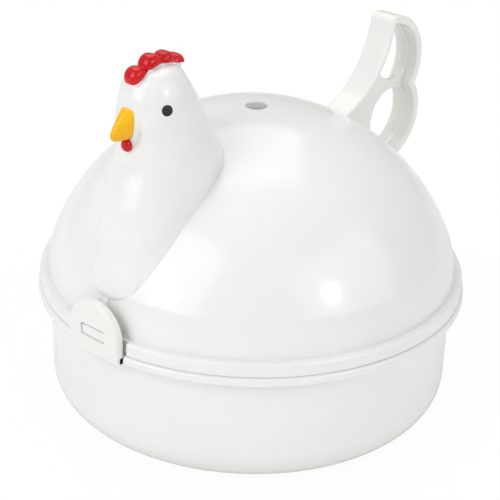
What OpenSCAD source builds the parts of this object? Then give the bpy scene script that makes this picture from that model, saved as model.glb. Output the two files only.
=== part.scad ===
// Hen-shaped microwave egg cooker: a round bowl with an egg tray, under a domed lid
// that carries the hen's head at the front (-Y) and a looped tail handle at the rear (+Y).
// Millimetres, +Z up, origin on the bowl's axis at the surface it stands on.

/* [Bowl] */
// Outer radius of the bowl's wall
bowl_r = 73.7; // [60:0.1:90]
// Thickness of the bowl's wall and floor
bowl_wall = 2.4; // [1.6:0.1:4]
// Height of the rim's upper face
rim_z = 45.4; // [38:0.1:60]
// Height of the rim band
rim_h = 3.6; // [3.4:0.1:6]
// How far the rim band stands out from the wall
rim_out = 4.6; // [4.2:0.1:7]
// Rounding of the rim band's outer edges
rim_round = 1.3; // [0.4:0.1:1.6]
// Radius of the rounded bottom corner
corner_r = 11.5; // [6:0.5:18]
// Height of the foot ring below the floor
foot_h = 1; // [0.5:0.1:2]
// Width of the foot ring
foot_w = 9; // [4:0.5:16]
// Radius of the flat pad in the middle of the underside
foot_pad_r = 14; // [8:1:30]
// Height of the lip that centres the lid, above the rim
lip_h = 1.6; // [1:0.1:1.7]
// Thickness of that lip
lip_t = 1.8; // [1:0.1:2.2]
// Number of ribs that carry the tray
rib_count = 8; // [4:1:12]
// Thickness of a rib
rib_t = 1.6; // [1:0.1:3]
// Depth of a rib from the wall
rib_d = 4; // [3:0.5:6]

/* [Egg tray] */
// Depth of the tray's flange below the rim
tray_drop = 6.8; // [4:0.1:9]
// Thickness of the sheet metal, of the tray and of the lid's liner
sheet_t = 0.6; // [0.4:0.1:1.2]
// Width of the tray's flange
flange_w = 4.6; // [3:0.1:8]
// Depth of the tray's plate below its flange
plate_drop = 3; // [1.5:0.1:6]
// Number of egg cups
cup_count = 4; // [3:1:4]
// Radius of an egg cup's bowl
cup_r = 22; // [16:0.5:23]
// Height of a cup's centre above the plate
cup_rise = 4; // [1:0.5:8]
// Distance of a cup's centre from the axis
cup_orbit = 33; // [32.5:0.5:35]
// Radius of a steam hole
steam_hole_r = 2.5; // [1:0.25:3]

/* [Lid] */
// How far the lid's skirt stands in from the rim's edge
skirt_in = 0.8; // [0:0.1:2]
// Height of the skirt
skirt_h = 4.5; // [4.3:0.1:7]
// Width of the step between the skirt and the dome
skirt_step = 3.2; // [2.6:0.1:4]
// Rounding of the skirt's upper edge
skirt_round = 0.9; // [0.3:0.1:1.2]
// Thickness of the lid's wall
lid_wall = 2.2; // [1.6:0.1:2.5]
// Height of the dome above the skirt
dome_h = 60.2; // [52:0.1:72]
// Radius of the dome's shoulder
shoulder_r = 33.2; // [26:0.1:40]
// Radius of the steam vent
vent_r = 4; // [2:0.25:6]
// Number of hooks that hold the liner
hook_count = 6; // [3:1:8]
// Width of a hook, in degrees
hook_angle = 9; // [4:1:16]
// Space between the lid's wall and the liner
liner_space = 4.5; // [4:0.1:5]

/* [Latches] */
// Width of a latch
latch_w = 23; // [18:0.5:30]
// Thickness of a latch
latch_t = 2; // [1.6:0.1:3]
// Rounding of a latch's front edge
latch_round = 1; // [0.4:0.1:1.4]
// Thickness of the rim behind a latch's edge
latch_rim_t = 1.2; // [0.8:0.1:2]
// Height of a latch's straight sides above its hinge
latch_side = 6.8; // [5:0.1:10]
// Radius of the hinge's stubs
stub_r = 1; // [0.8:0.05:1.1]
// Length of a stub
stub_len = 2.1; // [1.2:0.1:3]
// Thickness of the round hinge bar about its axis
barrel_r = 1.3; // [1.2:0.05:1.35]
// Width of the catch on the lid
catch_w = 10.8; // [6:0.2:14]
// Height of the catch
catch_h = 3.4; // [2:0.1:4]
// Height of the catch above the lid's lower edge
catch_lift = 2.9; // [2.6:0.1:3.6]
// Thickness of the fin above the catch
fin_t = 2; // [1:0.1:3]
// How far the fin's upper end stands out from the dome
fin_out = 0.9; // [0.5:0.1:2]
// Height of the fin's sloping edge
fin_slope_h = 4.5; // [3:0.1:6]

/* [Head] */
// Height of the breast's lower tip above the lid's lower edge
breast_lift = 15.8; // [12:0.1:22]
// Thickness of the head's wall
head_wall = 2.2; // [1.5:0.1:3]
// Radius of the eyes
eye_r = 1.85; // [1:0.05:3]
// How far the eyes stand out
eye_h = 0.6; // [0.4:0.1:1.5]
// Half the width of the comb
comb_half = 3.3; // [2:0.1:4]
// Rounding of the comb's edges
comb_round = 1.8; // [0.5:0.1:1.9]
// Width of the comb's step over the crest at each side
comb_step = 0.3; // [0.1:0.1:1]
// Half the width of the beak at its root
beak_half = 3.2; // [2.6:0.1:4.5]
// Length of the beak in front of its root
beak_len = 7.3; // [5:0.1:9]
// Radius of the wattle
wattle_r = 2.15; // [1.2:0.05:3]

/* [Tail handle] */
// Width of the tail's straps
tail_w = 11; // [8:0.5:14]
// Thickness of the front strap
front_strap_t = 2.2; // [1.6:0.1:3.5]
// Thickness of the scalloped rear strap
rear_strap_t = 3.2; // [2:0.1:4.5]
// Thickness of the web between the straps
web_t = 2.2; // [1.4:0.1:4]
// Depth of the narrow lip that the web leaves inside the straps
web_lip = 0.5; // [0.3:0.1:2]
// Rounding of the tail's upper tip
tail_tip_r = 3; // [1:0.5:5]

/* [Fixings] */
// Radius of a screw's shank
screw_r = 1.25; // [1:0.05:1.4]
// Radius of a screw's head
screw_head_r = 4; // [3.6:0.1:4.2]
// Height of a screw's head
screw_head_h = 1.8; // [1:0.1:2]
// Length of a head screw's shank
head_screw_len = 12; // [8:0.5:13]
// Radius of the tail's pegs
peg_r = 3; // [2.6:0.1:3.3]
// Depth of the pads for the screws, below the dome's outer face
pad_depth = 3.4; // [3:0.1:3.8]

/* [Clearances] */
// Gap between pieces that seat on each other
seat_gap = 0.3; // [0.2:0.05:0.5]
// Gap between pieces of the lid that are fixed to each other
fix_gap = 0.15; // [0.1:0.05:0.25]
// Radial play of the hinge stubs in their holes
hinge_play = 0.05; // [0.02:0.01:0.09]
// Gap at each side of a latch
latch_gap = 0.7; // [0.4:0.1:1.2]
// Gap round the tray
tray_gap = 0.5; // [0.3:0.1:1]

/* [Hidden] */
$fn = 96;
over = 1;
join = 0.4;

white_plastic = [0.94, 0.94, 0.92];
bare_metal = [0.76, 0.77, 0.78];
comb_red = [0.78, 0.07, 0.12];
beak_yellow = [0.96, 0.68, 0.05];
eye_black = [0.04, 0.04, 0.04];
screw_steel = [0.6, 0.61, 0.63];

// Bowl
bowl_in_r = bowl_r - bowl_wall;
rim_r = bowl_r + rim_out;
floor_z = foot_h + bowl_wall;
tray_z = rim_z - tray_drop;
lip_r = bowl_in_r + lip_t;

// Tray
flange_r = bowl_in_r - tray_gap;
tray_well_r = flange_r - flange_w;
plate_z = tray_z - plate_drop;
cup_z = plate_z + sheet_t + cup_rise;
steam_margin = 1;
steam_inner = cup_orbit + 2;
steam_outer = cup_orbit + sqrt(cup_r * cup_r - cup_rise * cup_rise) + steam_hole_r + steam_margin;

// Lid
lid_z = rim_z + seat_gap;
skirt_r = rim_r - skirt_in;
skirt_top = lid_z + skirt_h;
dome_r = skirt_r - skirt_step;
apex_z = skirt_top + dome_h;
// The shoulder's arc and the crown's arc meet without a corner
crown_r = (dome_r * dome_r + dome_h * dome_h - 2 * dome_r * shoulder_r) / (2 * (dome_h - shoulder_r));
crown_z = apex_z - crown_r;
shoulder_x = dome_r - shoulder_r;
meet_angle = atan2(skirt_top - crown_z, shoulder_x);

// Liner, held under the step by the hooks
liner_inset = lid_wall + liner_space;
ledge_z = skirt_top - lid_wall;
liner_z = ledge_z - sheet_t;
hook_h = 1;
hook_hold = 0.9;
hook_in_r = lip_r + seat_gap + 0.2;
liner_flange_r = hook_in_r + hook_hold;

// Latches: out is the distance from the axis, measured along the latch's middle
hinge_out = bowl_r + barrel_r + seat_gap;
hinge_z = rim_z - rim_h / 2;
hinge_hole_r = stub_r + hinge_play;
latch_back = skirt_r + seat_gap;
notch_out = bowl_r - seat_gap;
notch_half = latch_w / 2 + latch_gap;
pocket_side = 0.6;
pocket_wall = 1.1;
pocket_half = notch_half + pocket_side;
pocket_wall_out = lip_r + seat_gap + 0.5;
pocket_out = pocket_wall_out + pocket_wall;
latch_clear = 0.5;
catch_short = 0.6;
latch_rim_out = pocket_out + latch_clear;
catch_out = latch_back + latch_t - catch_short;
catch_z = lid_z + catch_lift;
window_side = 0.3;
window_above = 0.9;
window_below = 0.3;
stub_end = 0.2;
liner_notch_side = 3;

// Head: rows are [height above the breast's tip, front, back, half width], front and
// back measured inwards from the dome's widest radius
head_rows = [
    [-9, 10, 26, 6], [0, 2, 18, 9], [4.5, 2.3, 21, 13.4], [12.5, 3.6, 26, 14.8],
    [20.5, 3.7, 32, 15.6], [28.5, 5, 40, 16.2], [36.5, 8, 47, 17], [44.5, 11, 49.8, 16.6],
    [51.5, 11.7, 45.5, 14.8], [58.5, 11.1, 42.1, 13.3], [64.5, 11.5, 39.1, 12.3],
    [69.5, 12.9, 36, 10.8], [73.4, 15, 33.6, 8.6], [75.2, 18, 31.2, 6.2], [76, 22, 28, 3]
];
head_sides = 36;
head_steps = 2;
head_last = len(head_rows) - 1;
least_half = 0.6;
breast_z = lid_z + breast_lift;
fin_top = breast_z - seat_gap;
// Lobes of the comb from front to rear: [distance in, height, radius]
comb_lobes = [[15.6, 74.1, 3.9], [21.9, 76.9, 4], [28, 76.8, 3.75], [33, 75.3, 3.3]];
// Top line of the crest that the comb stands on, and the level of its foot in the head
crest_line = [[12.5, 72.1], [14.9, 73.6], [17.6, 75.6], [23.4, 77.1], [28.8, 76.5], [33.4, 75.2]];
crest_foot = 70;
eye_at = [18.8, 64.4];
eye_level = 10;
beak_root = [12.4, 59];
wattle_at = [11.2, 51.9];
// Balls that the beak and the wattle are drawn over, from their roots:
// [half the distance between them, distance in, height, radius]
beak_balls = [
    [beak_half - 2.2, -0.8, 4, 2], [beak_half - 2, -1.8, 1.5, 2], [0, 2.1 - 0.8 * beak_len, 1.2, 2.1],
    [0, 1.8 - beak_len, -2.4, 1.8], [0, -1.9, -2.8, 1.9]
];
wattle_balls = [[0, -0.4, 0, wattle_r], [0, 0.6, 1.6, wattle_r / 2]];

// Tail: its points and the centres of its arcs as [distance behind, height above] its seat,
// which is the dome's face at a distance in from its widest radius
tail_in = 16;
tail_seat = [dome_r - tail_in, crown_z + sqrt(crown_r * crown_r - pow(dome_r - tail_in, 2))];
tail_body = [[-16.3, 4], [-16.3, 16], [11.7, 39]];
tail_foot = [10.7, -22];
tail_root = [1.7, -9];
tail_foot_turn = 33;
tail_web_in = 0.1;
tail_front = [-24.5, 47.9];
tail_front_r = 37.9;
tail_upper = [14.6, 25];
tail_upper_r = 19.3;
tail_lower = [17.1, 3.4];
tail_lower_r = 17.3;
upper_window = [21.3, 27.8];
upper_window_r = 10.8;
lower_window = [20.7, 1.3];
lower_window_r = 11.8;

// Screws stand square to the dome, at these distances in from its widest radius
head_screws_in = [13, 40];
tail_screws_in = [7.5, 24.2];
pad_r = screw_head_r + 0.8;
screw_bore_r = screw_r + 0.1;
screw_pass_r = screw_r + 0.4;
boss_r = screw_r + 2;
post_r = peg_r - 0.4;
bore_end = 0.6;
tail_post_len = 4;
head_boss_len = 22;
head_rib_t = 1.6;
head_rib_reach = 12;

// A point of the dome's face, a distance in from its widest radius, with the outward direction up
module on_dome(inward, side) {
    radius = dome_r - inward;
    low = radius > crown_r * cos(meet_angle);
    centre = low ? [shoulder_x, skirt_top] : [0, crown_z];
    arc_r = low ? shoulder_r : crown_r;
    translate([0, side * centre[0], centre[1]])
        rotate([side * (acos((radius - centre[0]) / arc_r) - 90), 0, 0])
            translate([0, 0, arc_r]) children();
}

// Both latches are drawn at the front; the rear one is turned about the axis
module at_front_and_rear() {
    for (turn = [0, 180])
        rotate([0, 0, turn]) children();
}

// Space under the dome's face, set in by the given depth, from a height upwards
module dome_area(depth, from_z) {
    reach = crown_r + over;
    intersection() {
        translate([0, crown_z]) circle(crown_r - depth, $fn = 240);
        translate([0, crown_z])
            polygon([[0, 0], reach * [cos(meet_angle), sin(meet_angle)], [2 * reach, 2 * reach], [0, 2 * reach]]);
    }
    intersection() {
        translate([shoulder_x, skirt_top]) circle(shoulder_r - depth, $fn = 240);
        translate([0, skirt_top]) square([dome_r, dome_h]);
    }
    polygon([[0, skirt_top], [shoulder_x, skirt_top], [0, crown_z]]);
    translate([0, from_z]) square([dome_r - depth, skirt_top - from_z]);
}

// Bowl's outline, set in by the given depth
module bowl_area(depth, top_z) {
    translate([0, depth]) square([bowl_r - corner_r, top_z - depth]);
    translate([0, corner_r]) square([bowl_r - depth, top_z - corner_r]);
    translate([bowl_r - corner_r, corner_r]) circle(corner_r - depth);
}

module rim_area() {
    translate([bowl_in_r, rim_z - rim_h]) square([rim_r - rim_round - bowl_in_r, rim_h]);
    translate([bowl_in_r, rim_z - rim_h + rim_round]) square([rim_r - bowl_in_r, rim_h - 2 * rim_round]);
    for (z = [rim_z - rim_round, rim_z - rim_h + rim_round])
        translate([rim_r - rim_round, z]) circle(rim_round);
    translate([bowl_in_r, rim_z - over]) square([lip_t, lip_h + over]);
}

module base_bowl() {
    color(white_plastic)
    difference() {
        union() {
            rotate_extrude() {
                difference() {
                    bowl_area(0, rim_z);
                    intersection() {
                        bowl_area(bowl_wall, rim_z + over);
                        translate([0, floor_z]) square([bowl_in_r, rim_z]);
                    }
                    translate([foot_pad_r, -over])
                        square([bowl_r - corner_r - foot_w - foot_pad_r, foot_h + over]);
                }
                rim_area();
            }
            intersection() {
                for (i = [0 : rib_count - 1])
                    rotate([0, 0, (i + 0.5) * 360 / rib_count])
                        translate([bowl_in_r - rib_d, -rib_t / 2, 0])
                            cube([rib_d + bowl_wall / 2, rib_t, tray_z]);
                rotate_extrude() bowl_area(bowl_wall / 2, tray_z);
            }
        }
        at_front_and_rear() {
            translate([-notch_half, -rim_r - over, rim_z - rim_h - over])
                cube([2 * notch_half, rim_r + over - notch_out, rim_h + over]);
            translate([-notch_half - stub_len, -hinge_out, hinge_z])
                rotate([0, 90, 0]) cylinder(r = hinge_hole_r, h = 2 * (notch_half + stub_len));
        }
    }
}

module cup_places() {
    for (i = [0 : cup_count - 1])
        rotate([0, 0, (i + 0.5) * 360 / cup_count])
            translate([cup_orbit, 0, 0]) children();
}

module egg_tray() {
    color(bare_metal)
    difference() {
        union() {
            rotate_extrude() {
                translate([tray_well_r - sheet_t, tray_z]) square([flange_w + sheet_t, sheet_t]);
                translate([tray_well_r - sheet_t, plate_z]) square([sheet_t, plate_drop + sheet_t]);
                translate([0, plate_z]) square([tray_well_r, sheet_t]);
            }
            intersection() {
                cup_places() translate([0, 0, cup_z]) sphere(cup_r + sheet_t);
                cylinder(r = tray_well_r - over, h = plate_z + sheet_t);
            }
        }
        cup_places() translate([0, 0, cup_z]) sphere(cup_r);
        for (i = [0 : cup_count - 1])
            rotate([0, 0, i * 360 / cup_count])
                for (r = [steam_inner, steam_outer])
                    translate([r, 0, plate_z - over]) cylinder(r = steam_hole_r, h = sheet_t + 2 * over);
        translate([0, 0, plate_z - over]) cylinder(r = vent_r, h = sheet_t + 2 * over);
    }
}

module skirt_area() {
    translate([dome_r - lid_wall, lid_z]) square([skirt_r - dome_r + lid_wall, skirt_h - skirt_round]);
    translate([dome_r - lid_wall, lid_z]) square([skirt_r - skirt_round - dome_r + lid_wall, skirt_h]);
    translate([skirt_r - skirt_round, skirt_top - skirt_round]) circle(skirt_round);
}

module lid_shell() {
    rotate_extrude()
        difference() {
            union() {
                dome_area(0, ledge_z);
                skirt_area();
            }
            dome_area(lid_wall, lid_z - over);
            translate([dome_r - lid_wall - over, lid_z - over])
                square([skirt_r - dome_r + over, ledge_z - lid_z + over]);
        }
}

// The catch that stands in a latch's window, with its fin up to the breast
module catch_block() {
    translate([-catch_w / 2, -catch_out, catch_z])
        cube([catch_w, catch_out - pocket_wall_out - join, catch_h]);
    fin_foot = latch_back - latch_clear;
    fin_top_out = shoulder_x + sqrt(shoulder_r * shoulder_r - pow(fin_top - skirt_top, 2)) + fin_out;
    translate([fin_t / 2, 0, 0])
        rotate([90, 0, -90])
            linear_extrude(fin_t)
                polygon([
                    [dome_r - over, catch_z + over], [dome_r - lid_wall - join, fin_top - fin_slope_h],
                    [fin_top_out - lid_wall, fin_top], [fin_top_out, fin_top],
                    [fin_foot, fin_top - fin_slope_h], [fin_foot, catch_z + over]
                ]);
}

module lid_dome() {
    color(white_plastic)
    difference() {
        union() {
            difference() {
                union() {
                    lid_shell();
                    at_front_and_rear()
                        translate([-pocket_half - over, -pocket_out - over, lid_z])
                            cube([2 * (pocket_half + over), pocket_out + over - pocket_wall_out, ledge_z - lid_z + over]);
                    for (inward = head_screws_in) on_dome(inward, -1) screw_pad();
                    for (inward = tail_screws_in) on_dome(inward, 1) screw_pad();
                }
                at_front_and_rear()
                    translate([-pocket_half, -skirt_r - over, lid_z - over])
                        cube([2 * pocket_half, skirt_r + over - pocket_out, skirt_h + 2 * over]);
            }
            at_front_and_rear() catch_block();
            for (i = [0 : hook_count - 1])
                rotate([0, 0, (i + 0.5) * 360 / hook_count - hook_angle / 2])
                    rotate_extrude(angle = hook_angle)
                        translate([hook_in_r, liner_z - hook_h]) square([skirt_r - lid_wall / 2 - hook_in_r, hook_h]);
        }
        translate([0, 0, apex_z - lid_wall - over]) cylinder(r = vent_r, h = lid_wall + 2 * over);
        for (inward = head_screws_in)
            on_dome(inward, -1) screw_hole(screw_pass_r);
        for (inward = tail_screws_in)
            on_dome(inward, 1) screw_hole(peg_r + fix_gap);
    }
}

module screw_pad() {
    translate([0, 0, -pad_depth]) cylinder(r = pad_r, h = pad_depth - lid_wall / 2);
}

module screw_hole(r) {
    translate([0, 0, -pad_depth - over]) cylinder(r = r, h = pad_depth + 2 * over);
}

module lid_liner() {
    color(bare_metal)
    difference() {
        rotate_extrude() {
            difference() {
                dome_area(liner_inset, liner_z);
                dome_area(liner_inset + sheet_t, liner_z - over);
            }
            translate([dome_r - liner_inset - sheet_t, liner_z])
                square([liner_flange_r - dome_r + liner_inset + sheet_t, sheet_t]);
        }
        translate([0, 0, apex_z - liner_inset - 2 * over]) cylinder(r = vent_r, h = 3 * over);
        at_front_and_rear()
            translate([-pocket_half - liner_notch_side, -liner_flange_r - over, liner_z - over])
                cube([2 * pocket_half + 2 * liner_notch_side, liner_flange_r + over - pocket_wall_out + join, sheet_t + 2 * over]);
    }
}

// Head
function blend_rows(a, b, c, d, t) =
    0.5 * (2 * b + (c - a) * t + (2 * a - 5 * b + 4 * c - d) * t * t + (3 * b - a - 3 * c + d) * t * t * t);

function head_row(u) =
    let (i = min(floor(u), head_last - 1))
    blend_rows(head_rows[max(i - 1, 0)], head_rows[i], head_rows[i + 1], head_rows[min(i + 2, head_last)], u - i);

// One level section, drawn in by the wall's thickness; the crown comes down with it
function head_ring(row, depth) =
    let (
        half_len = max((row[2] - row[1]) / 2 - depth, least_half),
        half_w = max(row[3] - depth, least_half),
        z = row[0] - depth * row[0] / head_rows[head_last][0]
    )
    [for (k = [0 : head_sides - 1]) let (a = 360 * k / head_sides)
        [half_w * cos(a), (row[1] + row[2]) / 2 + half_len * sin(a), z]];

// The head between two rows, drawn in by a depth or grown by a negative one
module head_form(depth, first = 0, last = head_last, steps = head_steps) {
    rings = [for (u = [first : 1 / steps : last]) head_ring(head_row(u), depth)];
    n = head_sides;
    top = (len(rings) - 1) * n;
    polyhedron(
        points = [for (ring = rings) for (p = ring) p],
        faces = [
            [for (k = [0 : n - 1]) k],
            [for (k = [n - 1 : -1 : 0]) top + k],
            for (r = [0 : len(rings) - 2]) for (k = [0 : n - 1])
                for (face = let (a = r * n + k, b = r * n + (k + 1) % n) [[a, a + n, b + n], [a, b + n, b]]) face
        ]
    );
}

// Origin on the dome's widest circle at the front, level with the breast's tip
module on_head() {
    translate([0, -dome_r, breast_z]) children();
}

module dome_solid(grow) {
    rotate_extrude($fn = 180) dome_area(-grow, lid_z);
}

// Short round pegs of the face's pieces: [distance in, height, radius, length, tilt about X]
comb_peg_r = 1.2;
beak_peg_r = 1.5;
wattle_peg_r = 1;
peg_len = 5;
comb_pegs = [for (lobe = [comb_lobes[1], comb_lobes[2]]) [lobe[0], lobe[1] - join, comb_peg_r, peg_len, 0]];
beak_pegs = [[beak_root[0], beak_root[1], beak_peg_r, peg_len, 90]];
wattle_pegs = [[wattle_at[0] + wattle_peg_r, wattle_at[1], wattle_peg_r, peg_len - 1, 90]];

module pegs(list, grow) {
    for (p = list)
        translate([0, p[0], p[1]])
            rotate([p[4], 0, 0])
                translate([0, 0, -p[3] / 2]) cylinder(r = p[2] + grow, h = p[3], $fn = 24);
}

// A screw boss with the rib that ties it to the head's wall, before it or behind it
module head_boss(reach_behind) {
    cylinder(r = boss_r, h = head_boss_len, $fn = 32);
    translate([-head_rib_t / 2, reach_behind - head_rib_reach, 0])
        cube([head_rib_t, head_rib_reach, head_boss_len]);
}

module head_shell() {
    color(white_plastic)
    difference() {
        union() {
            on_head()
                difference() {
                    union() {
                        head_form(0);
                        side_prism(comb_half - comb_step, crest_area(1));
                    }
                    head_form(head_wall);
                }
            intersection() {
                for (i = [0, 1])
                    on_dome(head_screws_in[i], -1) head_boss(i * head_rib_reach);
                on_head() head_form(head_wall / 2, 1, head_last - 1, 1);
            }
        }
        dome_solid(fix_gap);
        on_head() {
            pegs(comb_pegs, fix_gap);
            pegs(beak_pegs, fix_gap);
            pegs(wattle_pegs, fix_gap);
            for (side = [-1, 1]) eye_peg(side, fix_gap);
        }
        for (inward = head_screws_in)
            on_dome(inward, -1) cylinder(r = screw_bore_r, h = head_screw_len - pad_depth + bore_end, $fn = 32);
    }
}

module ball_hull(root, balls) {
    hull()
        for (ball = balls)
            for (side = [-1, 1])
                translate([side * ball[0], root[0] + ball[1], root[1] + ball[2]]) sphere(ball[3], $fn = 24);
}

// Crest seen from the side: its line, drawn on past each end by a share of its end pieces
function crest_area(share) =
    let (last = len(crest_line) - 1)
    concat(
        [crest_line[0] + (share - 1) * (crest_line[0] - crest_line[1])],
        crest_line,
        [crest_line[last] + (share - 1) * (crest_line[last] - crest_line[last - 1])],
        [for (end = [crest_line[last][0], crest_line[0][0]]) [end, crest_foot]]
    );

// A prism across the head over a side outline
module side_prism(half, outline) {
    translate([half, 0, 0])
        rotate([90, 0, 90])
            mirror([0, 0, 1]) linear_extrude(2 * half) polygon(outline);
}

// A disc with rounded edges, standing across the head
module comb_lobe(r) {
    rotate([0, 90, 0])
        hull()
            for (turn = [0 : 22.5 : 90])
                cylinder(
                    r = r - comb_round * (1 - cos(turn)),
                    h = 2 * (comb_half - comb_round * (1 - sin(turn))),
                    center = true, $fn = 40
                );
}

module comb() {
    color(comb_red)
    on_head() {
        difference() {
            for (lobe = comb_lobes)
                translate([0, lobe[0], lobe[1]]) comb_lobe(lobe[2]);
            translate([0, 0, fix_gap]) side_prism(comb_half + over, crest_area(4));
        }
        pegs(comb_pegs, 0);
    }
}

module beak() {
    color(beak_yellow)
    on_head() {
        difference() {
            ball_hull(beak_root, beak_balls);
            head_form(-fix_gap, 8, 11);
        }
        pegs(beak_pegs, 0);
    }
}

module wattle() {
    color(comb_red)
    on_head() {
        difference() {
            ball_hull(wattle_at, wattle_balls);
            head_form(-fix_gap, 7, 10);
        }
        pegs(wattle_pegs, 0);
    }
}

// The face's side at the eye: its row, half width there and outward direction
eye_row = head_row(eye_level);
eye_side = sqrt(1 - pow((eye_at[0] - (eye_row[1] + eye_row[2]) / 2) / ((eye_row[2] - eye_row[1]) / 2), 2));
eye_x = eye_row[3] * eye_side;
eye_turn = 25;
eye_tilt = 77;
eye_ball_r = (eye_r * eye_r + eye_h * eye_h) / (2 * eye_h);

module at_eye(side) {
    translate([side * eye_x, eye_at[0], eye_at[1]])
        rotate([0, 0, -side * eye_turn])
            rotate([0, side * eye_tilt, 0])
                children();
}

module eye_peg(side, grow) {
    at_eye(side)
        translate([0, 0, -head_wall]) cylinder(r = eye_r / 2 + grow, h = head_wall + over, $fn = 24);
}

module eye(side) {
    color(eye_black)
    on_head() at_eye(side) {
        intersection() {
            translate([0, 0, fix_gap + eye_h - eye_ball_r]) sphere(eye_ball_r, $fn = 48);
            translate([0, 0, fix_gap]) cylinder(r = eye_r, h = eye_h, $fn = 48);
        }
        translate([0, 0, -head_wall]) cylinder(r = eye_r / 2, h = head_wall + 2 * fix_gap, $fn = 24);
    }
}

module left_eye() {
    eye(1);
}

module right_eye() {
    eye(-1);
}

// Side view of the tail, drawn in by the given depths at the front and the rear
module tail_area(front_depth, rear_depth) {
    slope = [sin(tail_foot_turn), -cos(tail_foot_turn)];
    difference() {
        union() {
            translate(tail_upper) circle(tail_upper_r - rear_depth);
            translate(tail_lower) circle(tail_lower_r - rear_depth);
            polygon(concat(tail_body, [
                tail_upper, tail_lower, tail_lower + (tail_lower_r - rear_depth) * slope,
                tail_foot + [0, rear_depth], tail_root
            ]));
        }
        translate(tail_front) circle(tail_front_r + front_depth);
    }
}

// What the rounding takes off the tip, where the front arc meets the upper scallop
module tail_tip_cut() {
    across = tail_upper - tail_front;
    apart = norm(across);
    front_reach = tail_front_r + tail_tip_r;
    along = (apart * apart + pow(front_reach, 2) - pow(tail_upper_r - tail_tip_r, 2)) / (2 * apart);
    off = sqrt(front_reach * front_reach - along * along);
    centre = tail_front + along * across / apart + off * [-across[1], across[0]] / apart;
    front_touch = tail_tip_r * (tail_front - centre) / norm(tail_front - centre);
    upper_touch = tail_tip_r * (centre - tail_upper) / norm(centre - tail_upper);
    difference() {
        translate(centre)
            polygon([[0, 0], front_touch, 2 * (front_touch + upper_touch), upper_touch]);
        translate(centre) circle(tail_tip_r);
    }
}

module tail_windows() {
    intersection() {
        translate(upper_window) circle(upper_window_r);
        tail_area(front_strap_t + web_lip, rear_strap_t + web_lip);
    }
    intersection() {
        translate(lower_window) circle(lower_window_r);
        translate(tail_lower) circle(tail_lower_r - rear_strap_t - web_lip);
    }
}

module tail_plate(width) {
    translate([width / 2, tail_seat[0], tail_seat[1]])
        rotate([90, 0, 90])
            mirror([0, 0, 1]) linear_extrude(width) children();
}

module tail_handle() {
    color(white_plastic)
    difference() {
        union() {
            difference() {
                union() {
                    tail_plate(tail_w)
                        difference() {
                            tail_area(0, 0);
                            tail_area(front_strap_t, rear_strap_t);
                            tail_tip_cut();
                        }
                    tail_plate(web_t)
                        difference() {
                            tail_area(tail_web_in, tail_web_in);
                            tail_windows();
                            tail_tip_cut();
                        }
                    for (inward = tail_screws_in)
                        on_dome(inward, 1) cylinder(r = post_r, h = tail_post_len);
                }
                rotate_extrude() dome_area(-fix_gap, lid_z);
            }
            for (inward = tail_screws_in)
                on_dome(inward, 1)
                    translate([0, 0, fix_gap - pad_depth]) cylinder(r = peg_r, h = pad_depth + fix_gap);
        }
        for (inward = tail_screws_in)
            on_dome(inward, 1)
                translate([0, 0, -pad_depth - over]) cylinder(r = screw_bore_r, h = pad_depth + over + tail_post_len - bore_end);
    }
}

module screw(length) {
    translate([0, 0, -pad_depth - screw_head_h]) cylinder(r = screw_head_r, h = screw_head_h);
    translate([0, 0, -pad_depth]) cylinder(r = screw_r, h = length);
}

module head_screws() {
    color(screw_steel)
        for (inward = head_screws_in) on_dome(inward, -1) screw(head_screw_len);
}

module tail_screws() {
    color(screw_steel)
        for (inward = tail_screws_in) on_dome(inward, 1) screw(pad_depth + tail_post_len - 2 * bore_end);
}

// Half of a latch's section: across from its middle, and outwards from its back
module latch_section() {
    half = latch_w / 2;
    square([half - latch_round, latch_t]);
    square([half, latch_t - latch_round]);
    translate([half - latch_round, latch_t - latch_round]) circle(latch_round);
    translate([half - latch_rim_t, latch_rim_out - latch_back])
        square([latch_rim_t, latch_back - latch_rim_out + latch_t / 2]);
}

// A latch as it stands at the front
module latch() {
    half = latch_w / 2;
    difference() {
        union() {
            translate([0, -latch_back, hinge_z + latch_side])
                rotate([90, 0, 0])
                    rotate_extrude(angle = 180) latch_section();
            translate([0, -latch_back, hinge_z - barrel_r])
                mirror([0, 1, 0])
                    linear_extrude(latch_side + barrel_r) {
                        latch_section();
                        mirror([1, 0]) latch_section();
                    }
            translate([-half, -latch_back - latch_t / 2, hinge_z - barrel_r])
                cube([latch_w, latch_back + latch_t / 2 - hinge_out, 2 * barrel_r]);
            translate([-half, -hinge_out, hinge_z])
                rotate([0, 90, 0]) cylinder(r = barrel_r, h = latch_w);
            translate([-notch_half - stub_len + stub_end, -hinge_out, hinge_z])
                rotate([0, 90, 0]) cylinder(r = stub_r, h = 2 * (notch_half + stub_len - stub_end));
        }
        translate([-catch_w / 2 - window_side, -latch_back - latch_t - over, catch_z - window_below])
            cube([catch_w + 2 * window_side, latch_t + 2 * over, catch_h + window_above + window_below]);
    }
}

module front_latch() {
    color(white_plastic) latch();
}

module rear_latch() {
    color(white_plastic) rotate([0, 0, 180]) latch();
}

base_bowl();
egg_tray();
lid_dome();
lid_liner();
head_shell();
comb();
beak();
wattle();
left_eye();
right_eye();
tail_handle();
front_latch();
rear_latch();
head_screws();
tail_screws();
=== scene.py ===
"""Hen-shaped microwave egg cooker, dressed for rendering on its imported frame."""

import math

import bmesh
import bpy
from bpy.props import FloatProperty, FloatVectorProperty, PointerProperty
from bpy.types import Operator, Panel, PropertyGroup
from mathutils import Matrix, Vector


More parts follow.
